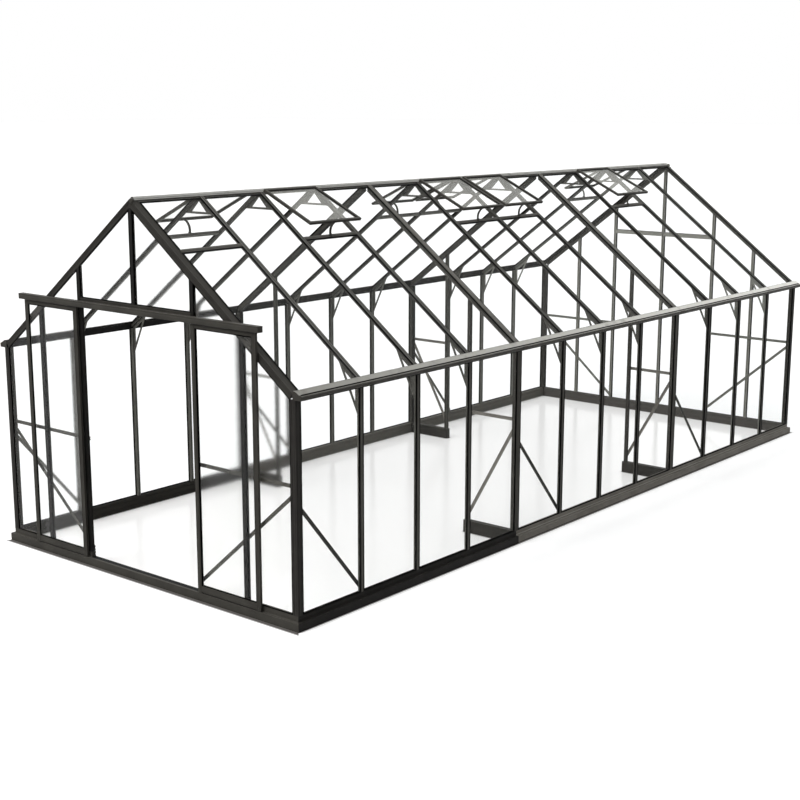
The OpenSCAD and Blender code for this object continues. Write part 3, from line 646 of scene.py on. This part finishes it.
def makeBase():
    # a ring of grooved rails, mitred at its corners and parted where the modules meet, with pale beads of painted
    # highlight and dark strips of painted shade along its sides, and the wings' rails inside
    look = baseLook
    side = solidsOf("base_right")[0]
    inner, step, outer = side.steps(acrossWay)
    ledge, high = side.steps(upwards)[1:]
    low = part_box("base_front")[0]
    sill = min(round(abs(corner.x), 4) for corner in solidsOf("base_front")[0].corners)
    face, rise = outer - inner, step - inner
    skirt = [
        (0.0, 0.0), (face - 0.0015, 0.0), (face, 0.0015), (face, 0.005), (face - 0.0008, 0.005),
        (face - 0.0008, 0.011), (face, 0.011), (face, 0.012), (face - 0.0014, 0.0125), (face - 0.0014, 0.0155),
        (face, 0.016), (face, ledge - 0.010), (face - 0.0012, ledge - 0.0096), (face - 0.0012, ledge - 0.0074),
        (face, ledge - 0.007), (face, ledge - 0.002), (face - 0.002, ledge - 0.0002)]
    stepped = skirt + [
        (rise + 0.002, ledge), (rise, ledge + 0.001), (rise - 0.0012, ledge + 0.0035), (rise - 0.0012, ledge + 0.019),
        (rise, ledge + 0.0195), (rise, ledge + 0.023), (rise - 0.0014, ledge + 0.0235), (rise - 0.0014, high - 0.004),
        (rise, high - 0.0035), (rise, high - 0.001), (rise - 0.001, high), (0.014, high), (0.014, high - 0.004),
        (0.006, high - 0.004), (0.006, high), (0.0, high), (0.0, high - 0.020), (0.005, high - 0.0205),
        (0.005, high - 0.026), (0.0, high - 0.0265), (0.0, 0.034), (0.004, 0.0335), (0.004, 0.029), (0.0, 0.0285)]
    flat = skirt + [(rise + 0.0062, ledge), (rise + 0.0062, ledge - 0.0032), (0.0, ledge - 0.0032)]
    limits = [low.y] + moduleMarks + [-low.y]
    for name, turn in (("base_left", -1.0), ("base_right", 1.0)):
        out = acrossWay * turn
        for number, places in enumerate(zip(limits, limits[1:])):
            form = bmesh.new()
            ends = []
            for where, place in zip((-1.0, 1.0), places):
                if place in moduleMarks:
                    ends.append((ridgeWay * (place - where * look["gap"]), ridgeWay * where))
                else:
                    corner = Vector((outer * turn, place, 0.0))
                    ends.append((corner, Vector((-turn, where, 0.0)).normalized()))
            sweep(form, stepped, ridgeWay, out, upwards, out * inner, ends)
            # painted shade: the first module's rails take a darker copy of the paint
            newPiece(name + "_rail_" + str(number + 1), form, "foot_paint" if number else "deep_paint", nodes=[name])
    for name, turn in (("base_front", -1.0), ("base_rear", 1.0)):
        form = bmesh.new()
        out = ridgeWay * turn
        foot = out * (abs(low.y) - face)
        corners = [(Vector((outer * way, abs(low.y) * turn, 0.0)), Vector((way, -turn, 0.0)).normalized())
                   for way in (-1.0, 1.0)]
        if turn > 0:
            sweep(form, stepped, acrossWay, out, upwards, foot, corners)
        else:
            sweep(form, stepped, acrossWay, out, upwards, foot, [corners[0], (acrossWay * -sill, acrossWay)])
            sweep(form, flat, acrossWay, out, upwards, foot, squareEnds(acrossWay, -sill, sill))
            sweep(form, stepped, acrossWay, out, upwards, foot, [(acrossWay * sill, -acrossWay), corners[1]])
            tread = bmesh.new()
            ribs = {"round": 0.0006, "grooves": [("out", place, 0.002, 0.0012) for place in look["tread"]]}
            boxBar(tread, (-sill, low.y + face - rise - 0.006, ledge - 0.003), (sill, low.y + face, ledge),
                   acrossWay, upwards, ribs)
            newPiece("sill_tread", tread, "black_plastic")
        newPiece(name + "_rail", form, "rear_paint" if turn > 0 else "frame_paint", nodes=[name])
    # pale beads as painted highlight lines, black strips as painted shade
    highlightBeads, shadeStrips = bmesh.new(), bmesh.new()
    rear = -low.y - look["short"]
    for turn in (-1.0, 1.0):
        out = acrossWay * turn
        for level, proud, half in ((ledge + 0.0075, step, 0.0032), (ledge - 0.0035, outer - 0.0012, 0.0016)):
            highlightBead = [(proud - 0.0016, level - half), (proud + 0.0008, level - half + 0.0004),
                    (proud + 0.0008, level + half - 0.0004), (proud - 0.0016, level + half)]
            sweep(highlightBeads, highlightBead, ridgeWay, out, upwards, Vector(), squareEnds(ridgeWay, moduleMarks[0], rear))
        for level, proud in ((ledge + 0.021, step), (0.008, outer)):
            shadeStrip = [(proud - 0.004, level - 0.002), (proud - 0.0002, level - 0.002),
                    (proud - 0.0002, level + 0.002), (proud - 0.004, level + 0.002)]
            sweep(shadeStrips, shadeStrip, ridgeWay, out, upwards, Vector(), squareEnds(ridgeWay, -rear, rear))
    newPiece("base_highlight_beads", highlightBeads, "highlight_paint")
    newPiece("base_shade_strips", shadeStrips, "black_plastic")
    form = bmesh.new()
    for solid in solidsOf("wing_bases"):
        across = solid.steps(ridgeWay)
        ends = squareEnds(acrossWay, *solid.reach(acrossWay))
        layBar(form, acrossWay, upwards, look["rail"], (across[0], across[-1]), (0.0, ledge), ends)
        layBar(form, acrossWay, upwards, look["curb"], (across[1], across[-2]), (ledge, high), ends)
    newPiece("wing_bases_rail", form, "dim_paint", nodes=["wing_bases"])


makeGableRafters()
makeRidge()
makeGutters()
makeBase()
print("roof edges, gutters and base made")


railLook = {"cap": 0.003, "slot": 0.014, "ends": {"round": 0.0007}}


def makeDoorRail():
    # a channel with a slot for the hangers; its face steps back under the top edge
    look = railLook
    form, caps = bmesh.new(), bmesh.new()
    low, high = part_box("door_rail")
    out = -ridgeWay
    deep, tall = high.y - low.y, high.z - low.z
    near, far = [deep / 2 + turn * look["slot"] / 2 for turn in (-1.0, 1.0)]
    outline = [
        (near, 0.0), (near, 0.003), (0.003, 0.003), (0.003, tall - 0.003), (deep - 0.003, tall - 0.003),
        (deep - 0.003, 0.003), (far, 0.003), (far, 0.0), (deep - 0.0015, 0.0), (deep, 0.0015),
        (deep, tall - 0.016), (deep - 0.0016, tall - 0.0135), (deep - 0.0016, tall - 0.0085),
        (deep - 0.0026, tall - 0.008), (deep - 0.0026, tall - 0.006), (deep - 0.0012, tall - 0.0056),
        (deep - 0.0012, tall - 0.001), (deep - 0.0022, tall), (0.021, tall), (0.0204, tall - 0.0007),
        (0.0186, tall - 0.0007), (0.018, tall), (0.001, tall), (0.0, tall - 0.001), (0.0, 0.0)]
    marks = (low.x, low.x + look["cap"], high.x - look["cap"], high.x)
    foot = out * -high.y + upwards * low.z
    sweep(form, outline, acrossWay, out, upwards, foot, squareEnds(acrossWay, marks[1], marks[2]))
    for first, last in (marks[:2], marks[2:]):
        boxBar(caps, (first, low.y, low.z), (last, high.y, high.z), ridgeWay, upwards, look["ends"])
    newPiece("door_rail_drawn", form, nodes=["door_rail"])
    newPiece("door_rail_ends", caps)


leafLook = {
    "stile": {"round": 0.0016, "grooves": [
        ("out", 0.0105, 0.003, 0.0016), ("out", -0.009, 0.012, 0.0010), ("in", 0.0, 0.014, 0.004),
        ("left", 0.0, 0.004, 0.003)]},
    "kick": {"round": 0.0016, "grooves": [
        ("out", 0.016, 0.003, 0.0016), ("out", -0.006, 0.02, 0.0010), ("in", 0.0, 0.02, 0.004)]},
    "top": {"round": 0.0014, "grooves": [("out", -0.0065, 0.003, 0.0016), ("in", 0.0, 0.010, 0.004)]},
    "brush": {"round": 0.0008, "thick": 0.008, "tall": 0.004},
    "bolts": {"in": 0.026, "up": 0.014, "size": 0.0034}, "back": 0.001}


def makeLeaf(body):
    # stiles the full height, the rails screwed between them, a brush under the lowest
    look = leafLook
    name = body + "_frame"
    form, soft = bmesh.new(), bmesh.new()
    solid = solidsOf(name)[0]
    x, z = solid.steps(acrossWay), solid.steps(upwards)
    near, far = solid.reach(ridgeWay)
    out = -ridgeWay
    boxBar(form, (x[0], near, z[0]), (x[1], far, z[3]), upwards, out, look["stile"])
    boxBar(form, (x[2], near, z[0]), (x[3], far, z[3]), upwards, out, flipped(look["stile"]))
    brush, bolts = look["brush"], look["bolts"]
    lowest = z[0] + brush["tall"]
    front, rear = near + look["back"], far - look["back"]
    boxBar(form, (x[1], front, lowest), (x[2], rear, z[1]), acrossWay, out, look["kick"])
    boxBar(form, (x[1], front, z[2]), (x[2], rear, z[3]), acrossWay, out, look["top"])
    middle, half = (near + far) / 2, brush["thick"] / 2
    boxBar(soft, (x[1], middle - half, z[0]), (x[2], middle + half, lowest), acrossWay, out, brush)
    for across in (x[0] + bolts["in"], x[3] - bolts["in"]):
        for up in (z[0] + bolts["up"], z[1] - bolts["up"], z[3] - bolts["up"]):
            addBolt(form, Vector((across, near + 0.0002, up)), out, bolts["size"])
    newPiece(name + "_drawn", form, "frame_paint", body, [name])
    newPiece(body + "_brush", soft, "black_plastic", body)


sashLook = {"round": 0.0012, "wider": 0.003, "taller": 0.0025, "grooves": [
    ("out", 0.0035, 0.0022, 0.0014), ("in", 0.0, 0.006, 0.003), ("sides", 0.0, 0.003, 0.0016)]}


def makeSashes():
    # each vent frame: four grooved bars mitred at its corners
    look = sashLook
    form = bmesh.new()
    for solid in solidsOf("vent_sashes"):
        out = max((normal for place, normal in solid.planes), key=lambda normal: normal.z)
        down = ridgeWay.cross(out) * sign(ridgeWay.cross(out).dot(-upwards))
        levels, places = solid.steps(down), solid.steps(ridgeWay)
        under, over = solid.reach(out)
        depth = (under - look["taller"], over + look["taller"])
        bars = ((levels[0], levels[1], ridgeWay, True), (levels[-2], levels[-1], ridgeWay, False),
                (places[0], places[1], down, True), (places[-2], places[-1], down, False))
        for low, high, along, first in bars:
            other = down if along is ridgeWay else ridgeWay
            limits = (places[0], places[-1]) if along is ridgeWay else (levels[0], levels[-1])
            edge = low if first else high
            low, high = (low, high + look["wider"]) if first else (low - look["wider"], high)
            inwards = other if first else -other
            ends = []
            for limit, way in ((limits[0], -1.0), (limits[-1], 1.0)):
                ends.append((along * limit + other * edge, (along * way + inwards).normalized()))
            side = out.cross(along)
            across = sorted((low * other.dot(side), high * other.dot(side)))
            layBar(form, along, out, look, across, depth, ends)
    newPiece("vent_sashes_mitred", form, nodes=["vent_sashes"])


stripLook = {"round": 0.0003, "width": 0.007, "more": 0.0035, "thin": 0.003, "lap": 0.0002,
             "foot": 0.0065, "thick": 0.0034, "proud": 0.0004}
stripPlan = (
    ("vent_panes", "house", roofwards),
    ("wall_panes_left", "house", sidewards), ("wall_panes_right", "house", sidewards),
    ("roof_panes_left", "house", roofwards), ("roof_panes_right", "house", roofwards),
    ("gable_panes_front", "house", endwards), ("gable_panes_rear", "house", endwards),
    ("door_left_pane", "door_left", endwards), ("door_right_pane", "door_right", endwards),
)


def makeStrips(node, body, outward):
    # the rubber that seals each pane to its bars, broader to the rear, none under the lower edge of a roof pane
    look = stripLook
    form = bmesh.new()
    for solid in solidsOf(node):
        out = outward(solid.middle)
        if node == "vent_panes":
            out = max((normal for place, normal in solid.planes), key=lambda normal: normal.z)
        back, face = solid.reach(out)
        edges = [(place, normal) for place, normal in solid.planes if abs(normal.dot(out)) < 0.3]
        for place, normal in edges:
            if node.startswith("roof") and normal.z < -0.3:
                continue
            along = normal.cross(out)
            foot = outward is not roofwards and normal.z < -0.9
            rearwards = solid.middle.y / (gableMarks[1] - gableMarks[0]) + 0.5
            width = (look["foot"] if foot else look["width"]) + look["more"] * rearwards
            if node == "gable_panes_rear":
                width = look["thin"]
            thick = look["thick"] + (look["proud"] if abs(normal.z) < 0.3 else 0.0)
            ends = [(spot, way) for spot, way in edges if abs(way.dot(along)) > 0.05]
            side = out.cross(along)
            edge = place.dot(side)
            reach = (-width, look["lap"]) if normal.dot(side) > 0 else (-look["lap"], width)
            across = [edge + mark for mark in reach]
            layBar(form, along, out, look, across, (back - look["lap"], face + thick), ends)
    newPiece(node + "_rubber", form, "black_plastic", body)


kneeLook = {"round": 0.0008, "fold": 0.019, "thick": 0.003, "short": 0.004}


def makeKneeFolds():
    # the folded edge that stiffens each knee brace along its strut
    look = kneeLook
    form = bmesh.new()
    for solid in solidsOf("knee_braces"):
        out = sidewards(solid.middle)
        under = [(place, normal) for place, normal in solid.planes
                 if normal.z < -0.2 and normal.dot(out) < -0.5 and abs(normal.z) < 0.95]
        place, normal = min(under, key=lambda plane: plane[0].dot(plane[1]) * -1.0)
        along = ridgeWay.cross(normal)
        reach = [corner.dot(along) for corner in solid.corners if abs((corner - place).dot(normal)) < 0.0005]
        middle = solid.middle.y
        side = normal.cross(along)
        across = sorted(side.dot(ridgeWay * (middle + way * look["fold"] / 2)) for way in (-1.0, 1.0))
        edge = place.dot(normal)
        ends = squareEnds(along, min(reach) + look["short"], max(reach) - look["short"])
        layBar(form, along, normal, look, across, (edge - look["thick"], edge), ends)
    newPiece("knee_folds", form, "side_paint")


stayLook = {"swell": 0.0036, "peg": ((0.015, 0.0), (0.015, 0.006), (0.008, 0.008), (0.008, 0.016), (0.005, 0.018))}


def makeStays():
    # the stays as bent strips with rounded edges, and the peg each one hooks over
    form = bmesh.new()
    form.from_mesh(frame["nodes"]["vent_stays"].data)
    bmesh.ops.remove_doubles(form, verts=form.verts, dist=0.00001)
    form.normal_update()
    for vert in form.verts:
        vert.co += vert.normal * stayLook["swell"]
    for solid in solidsOf("vent_stays"):
        low = min(solid.corners, key=lambda corner: corner.z)
        out = roofwards(solid.middle)
        addDisc(form, Vector((low.x, solid.middle.y, low.z)) - out * 0.001, out, stayLook["peg"])
    newPiece("vent_stays_bent", form, nodes=["vent_stays"])


# where the bolts go: inwards from the wall or the plate's inner end, and up from its foot or down from its top
kneeBolts = {"wall": 0.012, "up": (0.05, 0.13), "in": (0.03, 0.11), "down": 0.028, "size": 0.0045}
collarBolts = {"out": ((0.028, 0.009), (0.088, 0.0645)), "down": 0.006, "size": 0.0042}
braceBolts = {"in": 0.022, "size": 0.005}


def boltThrough(form, solid, spot, size):
    # a head on each side of a plate that stands across the ridge
    for face, turn in zip(solid.reach(ridgeWay), (-1.0, 1.0)):
        addBolt(form, Vector((spot.x, face, spot.z)), ridgeWay * turn, size)


def makePlateFixings():
    # bolts through the plates under the roof, seen from both sides
    look = kneeBolts
    form = bmesh.new()
    for solid in solidsOf("knee_braces"):
        out = sidewards(solid.middle)
        inner, wall = solid.reach(out)
        low, high = solid.reach(upwards)
        slope = roofNormal.x / roofNormal.z
        spots = [(wall - look["wall"], low + up) for up in look["up"]]
        spots += [(inner + mark, high - look["down"] - (mark - look["in"][0]) * slope) for mark in look["in"]]
        for across, up in spots:
            boltThrough(form, solid, out * across + upwards * up, look["size"])
    newPiece("knee_bolts", form)
    look = collarBolts
    form = bmesh.new()
    for solid in solidsOf("ridge_collars"):
        low, high = solid.reach(upwards)
        reach = solid.reach(acrossWay)[1]
        spots = [((reach - mark) * way, low + up) for mark, up in look["out"] for way in (-1.0, 1.0)]
        for across, up in spots + [(0.0, high - look["down"])]:
            boltThrough(form, solid, Vector((across, 0.0, up)), look["size"])
    newPiece("collar_bolts", form)


def makeBraceFixings():
    # one bolt through each end of a brace
    look = braceBolts
    form = bmesh.new()
    for node, outward in (("gable_braces", endwards), ("wall_braces", sidewards), ("wing_braces", endwards)):
        for solid in solidsOf(node):
            along, out = solid.longest, outward(solid.middle)
            low, high = solid.reach(along)
            for mark in (low + look["in"], high - look["in"]):
                spot = solid.middle + along * (mark - solid.middle.dot(along))
                for turn, level in zip((-1.0, 1.0), solid.reach(out)):
                    addBolt(form, spot + out * (level - spot.dot(out)), out * turn, look["size"])
    newPiece("brace_bolts", form)


# the cap's rings, and each thing's place across, its drop from the peak and its size
apexLook = {
    "rings": ((0.0185, -0.004), (0.0185, 0.003), (0.0165, 0.0055), (0.010, 0.0068), (0.003, 0.0072)),
    "peak": 0.022, "cap": (0.019, 0.004), "bolts": ((0.047, 0.024, 0.0055), (-0.03, 0.032, 0.0045))}


def makeApex():
    # the caps where the gable rafters meet, and the screws that hold them
    look = apexLook
    form = bmesh.new()
    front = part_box("gable_rafters")[0].y
    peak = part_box("ridge_bar")[1].z - look["peak"]
    for turn in (-1.0, 1.0):
        face = Vector((0.0, front * -turn, peak))
        out = ridgeWay * turn
        across, drop = look["cap"]
        addDisc(form, face + Vector((across, 0.0, -drop)), out, look["rings"], 28)
        for across, drop, size in look["bolts"]:
            addBolt(form, face + Vector((across, 0.0, -drop)), out, size)
    newPiece("apex_caps", form)


makeDoorRail()
makeLeaf("door_left")
makeLeaf("door_right")
makeSashes()
for plan in stripPlan:
    makeStrips(*plan)
makeKneeFolds()
makeStays()
makePlateFixings()
makeBraceFixings()
makeApex()
print("doors, vents, rubber and fixings made")


# the shade, the dark strip and the inside colours are painted shade on the floor; the halo is painted light beside
# the base
floorLook = {
    "size": 400.0, "colour": grey(0.84), "inside": (0.82, 0.812, 0.805, 1.0),
    "bounce": grey(0.14), "strip": (0.07, 0.062, 0.056, 1.0), "shade": (0.2, 0.19, 0.18, 1.0),
    "glow": grey(1.0), "glow inside": (0.82, 0.815, 0.81, 1.0), "lift": 0.3, "halo": 0.6,
    "contact": 0.03, "inner edge": 0.06, "strip ends": (0.02, 0.045), "halo ends": (0.03, 0.3),
    "roughness": 0.6, "smoother": 0.46}


def layFloor():
    # pale ground with painted shade where the base touches it, a painted shadow in a narrow strip along the two ends
    # and a painted glow just outside; inside it is smoother, with painted shade
    look = floorLook
    mesh = bpy.data.meshes.new("floor")
    form = bmesh.new()
    bmesh.ops.create_grid(form, x_segments=4, y_segments=4, size=look["size"] / 2)
    form.to_mesh(mesh)
    form.free()
    s = Shader(bpy.data.materials.new("floor"))
    # painted shade where the base meets the floor, found by ambient occlusion
    clear = s.node("AmbientOcclusion", {"samples": 8}, {"Distance": look["contact"]}, "AO")
    bare = s.span(clear, 0.5, 0.95)
    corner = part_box("base_rear")[1]
    across = abs(s.axis(s.place(), "X")) - corner.x
    along = abs(s.axis(s.place(), "Y")) - corner.y
    past = across.math("MAXIMUM", across, along)
    inside = past < -look["inner edge"]
    # painted shadow: a dark strip along the two ends of the base
    shadowStrip = (across < along) * (1.0 - inside) * (1.0 - s.span(past, *look["strip ends"]))
    ground = s.blend(shadowStrip, s.blend(inside, look["colour"], look["inside"]), look["strip"])
    # painted light: the glow is raised just outside the base
    lifted = 1.0 + look["halo"] * (1.0 - inside) * (1.0 - s.span(past, *look["halo ends"]))
    shown = s.blend(bare, look["shade"], ground)
    # painted shade: a dimmer glow inside, under the panes
    glow = s.blend(inside, look["glow"], look["glow inside"])
    share = look["lift"] * s.seen() * bare * (1.0 - shadowStrip) * lifted
    mesh.materials.append(s.surface(s.coat({
        "Base Color": s.blend(s.ray("Diffuse"), shown, look["bounce"]),
        "Roughness": look["roughness"] - look["smoother"] * inside + 0.02 * s.noise(3.0),
        "Specular IOR Level": 0.12,
        "Emission Color": s.blend(share, grey(0.0), glow),
        "Emission Strength": 1.0,
    })))
    floor = bpy.data.objects.new("floor", mesh)
    floor.location.z = -0.0005
    scene.collection.objects.link(floor)


lightLook = {
    "key": {"from": (-0.251, -0.62, 0.743), "power": 2.1, "width": 46.0},
    "back": {"from": (-0.1, 0.9, 0.42), "power": 0.4, "width": 50.0},
    "world": 0.5, "world right": 0.45}


def light():
    look = lightLook
    for name in ("key", "back"):
        lamp = bpy.data.lights.new(name, "SUN")
        lamp.energy = look[name]["power"]
        lamp.angle = math.radians(look[name]["width"])
        sun = bpy.data.objects.new(name, lamp)
        sun.rotation_euler = Vector(look[name]["from"]).to_track_quat("Z", "Y").to_euler()
        scene.collection.objects.link(sun)
    scene.world = bpy.data.worlds.new("studio")
    s = Shader(scene.world)
    way = s.axis(s.node("TexCoord", output="Generated"), "X")
    soft = s.blend(s.span(way, -0.4, 0.8), grey(look["world"]), grey(look["world right"]))
    ambient = s.node("Background", None, {"Color": soft, "Strength": 1.0})
    white = s.node("Background", None, {"Color": grey(1.0), "Strength": 1.0})
    s.surface(s.node("MixShader", None, {0: s.seen(), 1: ambient, 2: white}))


cameraPlace = {"stands": (7.682, -10.067, 3.414), "turned": -39.682, "tilted": -11.905, "rolled": 0.066,
               "lens": 63.4, "sensor": 36.0, "far": 1000.0}


def setCamera():
    look = cameraPlace
    lens = bpy.data.cameras.new("camera")
    lens.lens = look["lens"]
    lens.sensor_width = look["sensor"]
    lens.clip_end = look["far"]
    camera = bpy.data.objects.new("camera", lens)
    camera.location = look["stands"]
    turned, tilted = math.radians(look["turned"]), math.radians(look["tilted"])
    towards = Vector((math.sin(turned) * math.cos(tilted), math.cos(turned) * math.cos(tilted), math.sin(tilted)))
    aim = towards.to_track_quat("-Z", "Y").to_matrix()
    camera.rotation_euler = (aim @ Matrix.Rotation(math.radians(look["rolled"]), 3, "Z")).to_euler()
    scene.collection.objects.link(camera)
    scene.camera = camera


layFloor()
light()
setCamera()
scene.view_settings.view_transform = "Standard"
scene.cycles.transparent_max_bounces = 32  # many panes lie behind each other
print("floor, light and camera set")
